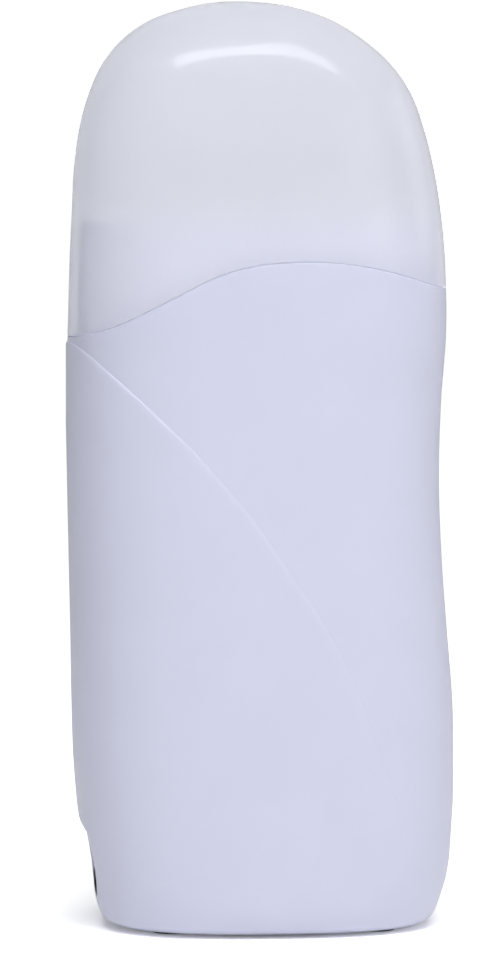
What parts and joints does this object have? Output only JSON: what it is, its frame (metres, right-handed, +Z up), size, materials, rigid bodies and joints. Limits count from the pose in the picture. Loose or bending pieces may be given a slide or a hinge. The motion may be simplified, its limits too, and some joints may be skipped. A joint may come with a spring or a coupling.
{
  "type": "roll-on wax heater",
  "caption": "Hand-held roll-on wax cartridge heater: waisted casing with a slanted crease, aluminium cartridge well, mains inlet and a tall milky lift-off cap with a wavy lower edge.",
  "frame": {"origin": "centre of the object's box on the surface that it stands on, at the underside of the rubber feet", "axes": "+Z up, along the long axis; the broad front faces -Y and the viewing window +Y; the narrow side with the mains inlet faces -X"},
  "size_m": [0.0798, 0.0544, 0.19],
  "materials": {
    "shell_plastic": "fine satin gloss, pale lavender white",
    "cap_plastic": "milky translucent, glossy",
    "sleeve_aluminium": "drawn, lightly brushed",
    "black_plastic": "fine texture",
    "grey_plastic": "heat resistant, fine texture",
    "clear_plastic": "clear, polished",
    "heater_case": "pressed",
    "spring_steel": "bright",
    "fuse_ceramic": "smooth",
    "rivet_aluminium": "smooth",
    "circuit_board": "solder mask",
    "led_red": "tinted, polished",
    "screw_steel": "zinc plated",
    "pin_nickel": "nickel plated",
    "heat_shrink": "shrunk, slightly wrinkled",
    "wire_brown": "silicone insulation",
    "wire_blue": "silicone insulation",
    "wire_white": "silicone insulation",
    "foot_rubber": "matt"
  },
  "bodies": {
    "housing": {"front_shell": "shell_plastic", "back_shell": "shell_plastic", "neck_collar": "shell_plastic", "heater_sleeve": "sleeve_aluminium", "well_floor": "grey_plastic", "window_lens": "clear_plastic", "ptc_heater": "heater_case", "heater_clamps": "spring_steel", "thermostat": "black_plastic", "thermostat_clip": "spring_steel", "thermal_fuse": "fuse_ceramic", "fuse_clip": "spring_steel", "sleeve_rivets": "rivet_aluminium", "lamp_board": "circuit_board", "indicator_led": "led_red", "lamp_lens": "clear_plastic", "board_screws": "screw_steel", "inlet_housing": "black_plastic", "inlet_pins": "pin_nickel", "solder_sleeves": "heat_shrink", "lead_live": "wire_brown", "lead_neutral": "wire_blue", "lead_thermostat": "wire_white", "lead_fuse": "wire_white", "lead_lamp_a": "wire_brown", "lead_lamp_b": "wire_blue", "shell_screws": "screw_steel", "foot_pads": "foot_rubber"},
    "cap": {"cap": "cap_plastic"}
  },
  "joints": [
    {"name": "cap_lift", "type": "slide", "parent": "housing", "child": "cap", "axis": [0, 0, 1], "range_m": [0, 0.08]}
  ]
}
